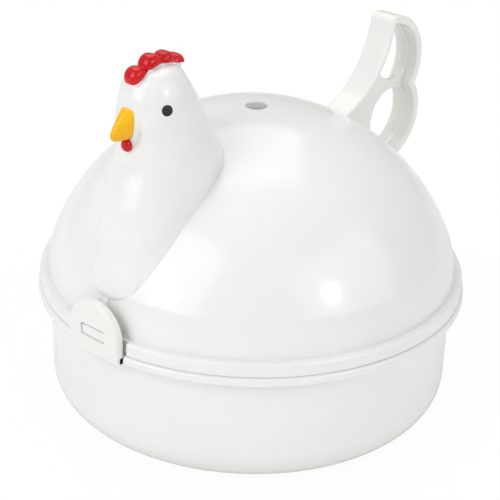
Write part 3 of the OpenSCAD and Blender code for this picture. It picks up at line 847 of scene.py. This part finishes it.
def tail_path(front_depth, rear_depth, rounding):
    """The tail's line from the front foot over the tip and the two lobes to the rear foot.

    It lies at the given depths behind the outer faces of the front and the rear strap."""
    front = (*TAIL_FRONT[:2], TAIL_FRONT[2] + front_depth)
    upper = (*TAIL_UPPER[:2], TAIL_UPPER[2] - rear_depth)
    lower = (*TAIL_LOWER[:2], TAIL_LOWER[2] - rear_depth)
    corner = crossing((*front[:2], front[2] + rounding), (*upper[:2], upper[2] - rounding), True)
    front_touch = moved_to(front[2], front, corner)
    upper_touch = moved_to(upper[2], upper, corner)
    waist = max((crossing(upper, lower, flag) for flag in (True, False)), key=lambda p: p[0])
    turn = math.radians(TAIL_RUNOUT)
    tangent = (lower[0] + lower[2] * math.sin(turn), lower[1] - lower[2] * math.cos(turn))
    points = arc(front, (front[0], front[1] - front[2]), front_touch, 60, clockwise=False)
    points += arc((*corner, rounding), front_touch, upper_touch, 10)[1:]
    points += arc(upper, upper_touch, waist, 48)[1:]
    points += arc(lower, waist, tangent, 48)[1:]
    points += straight(tangent, (TAIL_FOOT[0], TAIL_FOOT[1] + rear_depth), 12)
    return [p for p in points if over_dome(p)]


def along_dome(start, end):
    """Points on the dome's face below the tail, from one foot to the other."""
    places = [y for y, _ in straight(start, end, 12)[:-1]]
    return [(y, dome_height(y + TAIL_SEAT[0]) - TAIL_SEAT[1]) for y in places]


def tail_window(hole, lobe):
    """A window's outline: its circle, kept off the outer faces of the straps."""
    least, most = TAIL_FRONT[2] + WINDOW_LIPS[0], lobe[2] - WINDOW_LIPS[1]
    points = []
    for c, s in compass(96):
        point = (hole[0] + hole[2] * c, hole[1] + hole[2] * s)
        if math.hypot(point[0] - lobe[0], point[1] - lobe[1]) > most:
            point = moved_to(most, lobe, point)
        if math.hypot(point[0] - TAIL_FRONT[0], point[1] - TAIL_FRONT[1]) < least:
            point = moved_to(least, TAIL_FRONT, point)
        points.append(point)
    return points


def flat_piece(name, loops, thickness, rounding):
    """A plate of closed outlines, the later ones being holes, with rounded edges."""
    curve = bpy.data.curves.new(name, "CURVE")
    curve.dimensions = "2D"
    curve.fill_mode = "BOTH"
    curve.extrude = (thickness / 2 - rounding) * MM
    curve.bevel_depth = rounding * MM
    curve.bevel_resolution = 3
    curve.offset = -rounding * MM
    for loop in loops:
        line = curve.splines.new("POLY")
        line.points.add(len(loop) - 1)
        for place, point in zip(line.points, loop):
            place.co = (point[0] * MM, point[1] * MM, 0, 1)
        line.use_cyclic_u = True
    return as_mesh(link_new(name, curve))


def add_post(bm, side, inward):
    """A round post with a rounded top, that takes a screw from below."""
    wide, tall, rounding = TAIL_POST
    spot, tilt = on_dome(side, inward)
    turn = Matrix.Translation(spot) @ Matrix.Rotation(tilt, 4, "X")
    profile = [(wide, -0.6)] + [(wide - step, tall - drop) for step, drop in quarter(rounding)]
    add_rings(bm, [[turn @ point for point in ring] for ring in turned(profile, 40)])


class COOKER_OT_tail(Operator):
    """Make the looped tail handle from its two straps, its thin web and its posts"""

    bl_idname = "cooker.tail"
    bl_label = "Tail handle"

    def execute(self, context):
        white = bpy.data.materials["shade warmed white plastic"]
        outer = tail_path(0, 0, STRAP_TIP[0])
        inner = tail_path(*STRAP_DEPTHS, STRAP_TIP[1])
        rounding = sizes().tail_round / MM
        straps = flat_piece("tail straps", [outer + inner[::-1]], STRAP_WIDTH, rounding)
        inset, thickness, rounding = WEB
        edge = tail_path(inset, inset, STRAP_TIP[0] - inset)
        web = flat_piece("tail web", [
            edge + along_dome(edge[-1], edge[0]),
            tail_window(UPPER_WINDOW, TAIL_UPPER), tail_window(LOWER_WINDOW, TAIL_LOWER),
        ], thickness, rounding)
        bm = bmesh.new()
        bm.from_mesh(straps)
        bm.from_mesh(web)
        bm.transform(Matrix.Translation((0, TAIL_SEAT[0] * MM, TAIL_SEAT[1] * MM)) @ ACROSS_X)
        side, places, _ = SCREWS["tail_screws"]
        for inward in places:
            add_post(bm, side, inward)
        mesh = mesh_from(bm, "tail")
        settle(
            "tail_handle_smooth", mesh, "lid", white, ("tail_handle",), 40, True)
        return {"FINISHED"}


# ---- Latches

# Hinge line: out from the axis, and height
LATCH_HINGE = (75.3, 43.6)
# Half width; top of the straight sides and foot, from the hinge up; back and face, outwards
LATCH_HALF = 11.65
LATCH_SIDE = 6.8
LATCH_FOOT = -1.3
LATCH_BACK = 77.8
LATCH_FACE = 79.8
# Rim behind the plate's edge: its back outwards and its width
LATCH_RIM = (76.8, 1.2)
# Window: half width, lower and upper edge above the hinge, and corner
LATCH_WINDOW = (5.6, 4.8, 9.2, 0.5)
# Hinge bar: radius, and radius and overall length of the stubs at its ends
HINGE_BAR = 1.3
HINGE_STUBS = (1.0, 28.2)
LOOP_POINTS = 144


def latch_loop(inset, out):
    """The latch's round-topped outline, drawn in by a width, at a distance from the axis."""
    half, tall = LATCH_HALF - inset, LATCH_SIDE - LATCH_FOOT - inset
    # The lower points are spaced as seen from the window's middle, like the window's own
    reach_down = (LATCH_WINDOW[1] + LATCH_WINDOW[2]) / 2 - LATCH_FOOT - inset
    points = []
    for across, up in compass(LOOP_POINTS):
        if up > 0:
            x, z = half * across, LATCH_SIDE + half * up
        else:
            reach = min(half / max(TINY, abs(across)), reach_down / max(TINY, -up))
            x, z = reach * across, LATCH_SIDE + reach * up * tall / reach_down
        points.append(mm(x, -out, LATCH_HINGE[1] + z))
    return points


def window_loop(inset, out):
    """The window's outline with rounded corners, one point for each of the latch's."""
    half, low, high, corner = LATCH_WINDOW
    middle, tall = (low + high) / 2, (high - low) / 2
    points = []
    for across, up in compass(LOOP_POINTS):
        reach = min((half - inset) / max(TINY, abs(across)), (tall - inset) / max(TINY, abs(up)))
        x, z = reach * across, reach * up
        over_x, over_z = abs(x) - (half - inset - corner), abs(z) - (tall - inset - corner)
        if over_x > 0 and over_z > 0:
            away = max(TINY, math.hypot(over_x, over_z))
            x = math.copysign(half - inset - corner + over_x * corner / away, x)
            z = math.copysign(tall - inset - corner + over_z * corner / away, z)
        points.append(mm(x, -out, LATCH_HINGE[1] + middle + z))
    return points


def add_bar(bm, length, radius):
    """A round bar on the front hinge's line, with eased ends."""
    out, height = LATCH_HINGE
    half, ease, tip = length / 2, radius * 0.2, radius * 0.8
    ends = [(-half, tip), (-half + ease, radius), (half - ease, radius), (half, tip)]
    add_rings(bm, [[mm(x, -out + r * c, height + r * s) for c, s in compass(32)] for x, r in ends])


def add_foot(bm):
    """The block that joins the front latch's plate to its hinge bar."""
    out, height = LATCH_HINGE
    rings = []
    for x, inset in (
        (-LATCH_HALF, CHAMFER), (-LATCH_HALF + CHAMFER, 0),
        (LATCH_HALF - CHAMFER, 0), (LATCH_HALF, CHAMFER),
    ):
        low, high, face = -HINGE_BAR + inset, HINGE_BAR - inset, LATCH_BACK + 0.5
        corners = ((out, low), (face, low), (face, high), (out, high))
        rings.append([mm(x, -y, height + z) for y, z in corners])
    add_rings(bm, rings)


def latch_mesh():
    """A latch at the front: a plate with a rim behind it and a window, on its hinge bar."""
    rim, wide = LATCH_RIM
    loops = [
        window_loop(0, LATCH_BACK), latch_loop(wide, LATCH_BACK), latch_loop(wide, rim + CHAMFER),
        latch_loop(wide - CHAMFER, rim), latch_loop(CHAMFER, rim), latch_loop(0, rim + CHAMFER),
    ]
    for inset, drop in quarter(sizes().latch_round / MM):
        loops.append(latch_loop(inset, LATCH_FACE - drop))
    loops += [
        window_loop(-CHAMFER, LATCH_FACE), window_loop(0, LATCH_FACE - CHAMFER),
        window_loop(0, LATCH_BACK),
    ]
    bm = bmesh.new()
    add_rings(bm, loops, False, False)
    add_bar(bm, 2 * LATCH_HALF, HINGE_BAR)
    add_bar(bm, HINGE_STUBS[1], HINGE_STUBS[0])
    add_foot(bm)
    return mesh_from(bm, "latch")


class COOKER_OT_latches(Operator):
    """Make the front and the rear latch with rounded edges"""

    bl_idname = "cooker.latches"
    bl_label = "Latches"

    def execute(self, context):
        white = bpy.data.materials["shade warmed white plastic"]
        front = latch_mesh()
        rear = front.copy()
        rear.transform(Matrix.Rotation(math.pi, 4, "Z"))
        for node, mesh in (("front_latch", front), ("rear_latch", rear)):
            settle(node + "_smooth", mesh, node, white, (node,), 40, True)
        return {"FINISHED"}


# ---- Steam vent

# Hole's radius, wall, and the sleeve's upper and lower end
VENT = (4.0, 0.8, 108.3, 103.75)


class COOKER_OT_vent(Operator):
    """Make the short sleeve that leads the steam from the liner to the vent"""

    bl_idname = "cooker.vent"
    bl_label = "Vent sleeve"

    def execute(self, context):
        white = bpy.data.materials["white plastic"]
        hole, wall, high, low = VENT
        outside = hole + wall
        profile = [
            (outside, high), (outside, low + CHAMFER), (outside - CHAMFER, low),
            (hole + CHAMFER, low), (hole, low + CHAMFER), (hole, high), (outside, high),
        ]
        mesh = ring_mesh("vent sleeve", turned(profile, 72), False, False)
        settle("vent_sleeve", mesh, "lid", white)
        return {"FINISHED"}


# ---- Screws

# Seat of a screw's head below the dome's face, and the shank's radius and point
SCREW_SEAT = 3.4
SCREW_SHANK = (1.25, 1.2)
# Pan head: radius, straight part of its height and rounding
SCREW_HEAD = (4.0, 0.7, 1.1)
# Cross: radius between its arms, how far the arms go beyond it, and its bottom's share
SCREW_CROSS = (0.5, 1.3, 0.6)


def screw_tree():
    """Screws on points, each turned by its point's own turn."""
    tree, keys, _, copier = pattern_tree("Screws", "Screw")
    turn = tree_node(tree, "GeometryNodeInputNamedAttribute", data_type="FLOAT_VECTOR")
    set_inputs(turn, Name="turn")
    join_all(tree, (turn.outputs["Attribute"], copier.inputs["Rotation"]))
    return tree, keys


def screw_pattern(length):
    """One pan-head screw with a cross recess; its head hangs below its seat."""
    shank, point = SCREW_SHANK
    wide, flat, rounding = SCREW_HEAD
    low, under = -SCREW_SEAT, -SCREW_SEAT - flat
    profile = [
        (shank * 0.4, length + low), (shank, length + low - point), (shank, low), (wide, low),
        (wide, under),
    ]
    for a in map(math.radians, (20, 40, 60, 80)):
        profile.append((wide - rounding * (1 - math.cos(a)), under - rounding * math.sin(a)))
    rings = turned(profile, 40)
    bm = bmesh.new()
    add_rings(bm, rings, close_end=False)
    between_arms, arms, bottom = SCREW_CROSS
    face = under - rounding
    rim = rings[-1]
    for z, share in ((face, 1.0), (face + sizes().screw_recess / MM, bottom)):
        ring = []
        for c, s in compass(40):
            r = (between_arms + arms * abs(c * c - s * s) ** 3) * share
            ring.append(mm(r * c, r * s, z))
        add_rings(bm, [rim, ring], close_start=False, close_end=z > face)
        rim = ring
    return link_new("screw", mesh_from(bm, "screw"))


class COOKER_OT_screws(Operator):
    """Make the screws that hold the head and the tail from inside the lid"""

    bl_idname = "cooker.screws"
    bl_label = "Screws"

    def execute(self, context):
        steel = bpy.data.materials["screw steel"]
        tree, keys = screw_tree()
        for name, (side, places, length) in SCREWS.items():
            seats = [on_dome(side, inward) for inward in places]
            turns = [(tilt, 0, 0) for _, tilt in seats]
            pattern = screw_pattern(length)
            mesh = on_points(
                name + " seats", [spot for spot, _ in seats], ("turn", "FLOAT_VECTOR", turns),
                tree, {keys["Screw"]: pattern, keys["Material"]: steel})
            bpy.data.objects.remove(pattern)
            settle(name + "_crossed", mesh, "lid", steel, (name,))
        return {"FINISHED"}


# ---- Finishes, also on the frame pieces that stay

# The tail and the latches get a slightly warmer copy of the white, a painted shade that stands in
# for the warm beige the plastic shows where it lies in shade: its share of each colour
SHADE_WARMTH = (1, 0.996, 0.978)


class COOKER_OT_finishes(Operator):
    """Make the finishes and put them on the pieces that stay as they are"""

    bl_idname = "cooker.finishes"
    bl_label = "Finishes"

    def execute(self, context):
        c = colours()
        white = moulded_white("white plastic", tuple(c.shell))
        # A warmer copy of the white plastic for the tail and the latches: painted shade.
        moulded_white("shade warmed white plastic", tuple(v * share for v, share in zip(c.shell, SHADE_WARMTH)))
        comb_gloss("red plastic", tuple(c.comb))
        beak_gloss("yellow plastic", tuple(c.beak))
        satin_black("black plastic", tuple(c.eye))
        sheet = pressed_sheet("pressed sheet", tuple(c.sheet), 0.28)
        pressed_sheet("screw steel", tuple(c.steel), 0.34)
        for node in ("base_bowl", "lid_dome"):
            dress(node, white)
        for node in ("egg_tray", "lid_liner"):
            dress(node, sheet)
        return {"FINISHED"}


# ---- Stage

# Camera: turns in radians, place in millimetres, focal length in widths of the picture
CAMERA_AZIMUTH = math.radians(41)
CAMERA_ELEVATION = 0.45473
CAMERA_ROLL = 0.030571
CAMERA_DISTANCE = 538.25
CAMERA_AIM = (-0.692, 53.723)
CAMERA_FOCAL = 1459.104 / 500
# Lamps: name, azimuth, elevation, distance, width and height in metres, and radiance
LAMPS = [
    ("left softbox", -10, 33, 1.6, 1.3, 1.2, 1.95),
    ("left core", -9, 24, 1.5, 0.24, 0.24, 7.5),
    ("right softbox", 100, 27, 1.6, 1.7, 0.95, 1.1),
    ("right core", 88, 24, 1.5, 0.22, 0.22, 9),
    ("overhead", -130, 68, 1.5, 1.2, 1.2, 1.65),
]
LAMP_AIM = Vector((0, 0, 0.06))


def direction(azimuth, elevation):
    """Unit vector from the object; azimuth 0 is the front and 90 degrees the hen's left."""
    return Vector((
        math.sin(azimuth) * math.cos(elevation), -math.cos(azimuth) * math.cos(elevation),
        math.sin(elevation)))


def soft_box(name, azimuth, elevation, distance, width, height, radiance):
    """A rectangular lamp that faces the object; radiance 1 shows as white."""
    lamp = bpy.data.lights.new(name, "AREA")
    lamp.shape = "RECTANGLE"
    lamp.size = width
    lamp.size_y = height
    lamp.energy = radiance * math.pi * width * height
    place = link_new(name, lamp)
    away = direction(math.radians(azimuth), math.radians(elevation))
    place.location = LAMP_AIM + away * distance
    place.rotation_euler = (-away).to_track_quat("-Z", "Y").to_euler()


class COOKER_OT_stage(Operator):
    """Set up the camera at the photograph's angle, the lamps, the floor and the white ground"""

    bl_idname = "cooker.stage"
    bl_label = "Stage"

    def execute(self, context):
        self.camera()
        for lamp in LAMPS:
            soft_box(*lamp)
        self.world()
        self.floor()
        return {"FINISHED"}

    def camera(self):
        sideways, height = CAMERA_AIM
        right = Vector((math.cos(CAMERA_AZIMUTH), math.sin(CAMERA_AZIMUTH), 0))
        back = direction(CAMERA_AZIMUTH, CAMERA_ELEVATION)
        up = back.cross(right)
        turned_right = math.cos(CAMERA_ROLL) * right + math.sin(CAMERA_ROLL) * up
        turned_up = -math.sin(CAMERA_ROLL) * right + math.cos(CAMERA_ROLL) * up
        view = Matrix((turned_right, turned_up, back)).transposed().to_4x4()
        data = bpy.data.cameras.new("camera")
        data.sensor_width = 36
        data.lens = data.sensor_width * CAMERA_FOCAL
        data.clip_start = 0.02
        camera = link_new("camera", data)
        place = (right * sideways + Vector((0, 0, height)) + back * CAMERA_DISTANCE) * MM
        camera.matrix_world = Matrix.Translation(place) @ view
        bpy.context.scene.camera = camera

    def world(self):
        """White where the camera or glass looks, dimmer in gloss, and a plain soft light."""
        world = bpy.data.worlds.new("studio")
        bpy.context.scene.world = world
        world.use_nodes = True
        tree = world.node_tree
        tree.nodes.clear()
        rays = tree_node(tree, "ShaderNodeLightPath")
        seen = tree_node(tree, "ShaderNodeMath", operation="MAXIMUM")
        light, gloss, shown = (tree_node(tree, "ShaderNodeBackground") for _ in range(3))
        set_inputs(light, Color=(1, 0.99, 0.97, 1), Strength=0.46)
        set_inputs(gloss, Color=(1, 1, 1, 1), Strength=0.55)
        set_inputs(shown, Color=(1, 1, 1, 1), Strength=1)
        unseen, whole = (tree_node(tree, "ShaderNodeMixShader") for _ in range(2))
        end = tree_node(tree, "ShaderNodeOutputWorld")
        join_all(
            tree,
            (rays.outputs["Is Camera Ray"], seen.inputs[0]),
            (rays.outputs["Is Transmission Ray"], seen.inputs[1]),
            (rays.outputs["Is Glossy Ray"], unseen.inputs["Fac"]),
            (light.outputs[0], unseen.inputs[1]),
            (gloss.outputs[0], unseen.inputs[2]),
            (seen.outputs[0], whole.inputs["Fac"]),
            (unseen.outputs[0], whole.inputs[1]),
            (shown.outputs[0], whole.inputs[2]),
            (whole.outputs[0], end.inputs["Surface"]))

    def floor(self):
        """A pale floor that keeps the shadow close to the object and fades to white."""
        material = bpy.data.materials.new("floor")
        material.use_nodes = True
        tree = material.node_tree
        tree.nodes.clear()
        place = tree_node(tree, "ShaderNodeTexCoord")
        away = tree_node(tree, "ShaderNodeVectorMath", operation="LENGTH")
        fade = tree_node(tree, "ShaderNodeMapRange", interpolation_type="SMOOTHSTEP")
        set_inputs(fade, From_Min=0.09, From_Max=0.24, To_Min=0.95, To_Max=1.0)
        rays = tree_node(tree, "ShaderNodeLightPath")
        both = tree_node(tree, "ShaderNodeMath", operation="MULTIPLY")
        matt = tree_node(tree, "ShaderNodeBsdfDiffuse")
        set_inputs(matt, Color=(*colours().floor, 1))
        white = tree_node(tree, "ShaderNodeEmission")
        set_inputs(white, Strength=1)
        mixed = tree_node(tree, "ShaderNodeMixShader")
        end = tree_node(tree, "ShaderNodeOutputMaterial")
        join_all(
            tree,
            (place.outputs["Object"], away.inputs[0]),
            (away.outputs["Value"], fade.inputs["Value"]),
            (fade.outputs["Result"], both.inputs[0]),
            (rays.outputs["Is Camera Ray"], both.inputs[1]),
            (both.outputs[0], mixed.inputs["Fac"]),
            (matt.outputs[0], mixed.inputs[1]),
            (white.outputs[0], mixed.inputs[2]),
            (mixed.outputs[0], end.inputs["Surface"]))
        bm = bmesh.new()
        bmesh.ops.create_grid(bm, x_segments=8, y_segments=8, size=1.5)
        mesh = bpy.data.meshes.new("floor")
        bm.to_mesh(mesh)
        bm.free()
        mesh.materials.append(material)
        link_new("floor", mesh)


# ---- Sidebar, registering and running

OPERATORS = (
    COOKER_OT_finishes, COOKER_OT_head, COOKER_OT_comb, COOKER_OT_beak, COOKER_OT_wattle,
    COOKER_OT_eyes, COOKER_OT_tail, COOKER_OT_latches, COOKER_OT_vent, COOKER_OT_screws,
    COOKER_OT_stage,
)


class COOKER_PT_sidebar(Panel):
    bl_idname = "COOKER_PT_sidebar"
    bl_label = "Egg Cooker"
    bl_space_type = "VIEW_3D"
    bl_region_type = "UI"
    bl_category = "Egg Cooker"

    def draw(self, context):
        for group in (context.scene.cooker_sizes, context.scene.cooker_colours):
            box = self.layout.box()
            for key in group.__annotations__:
                box.prop(group, key)
        for operator in OPERATORS:
            self.layout.operator(operator.bl_idname)


CLASSES = (CookerSizes, CookerColours, *OPERATORS, COOKER_PT_sidebar)


def register():
    for item in CLASSES:
        bpy.utils.register_class(item)
    bpy.types.Scene.cooker_sizes = PointerProperty(type=CookerSizes)
    bpy.types.Scene.cooker_colours = PointerProperty(type=CookerColours)


def unregister():
    del bpy.types.Scene.cooker_sizes
    del bpy.types.Scene.cooker_colours
    for item in reversed(CLASSES):
        bpy.utils.unregister_class(item)


def main():
    register()
    bpy.context.scene.view_settings.view_transform = "Standard"
    for operator in OPERATORS:
        group, name = operator.bl_idname.split(".")
        getattr(getattr(bpy.ops, group), name)()


if __name__ == "__main__":
    main()
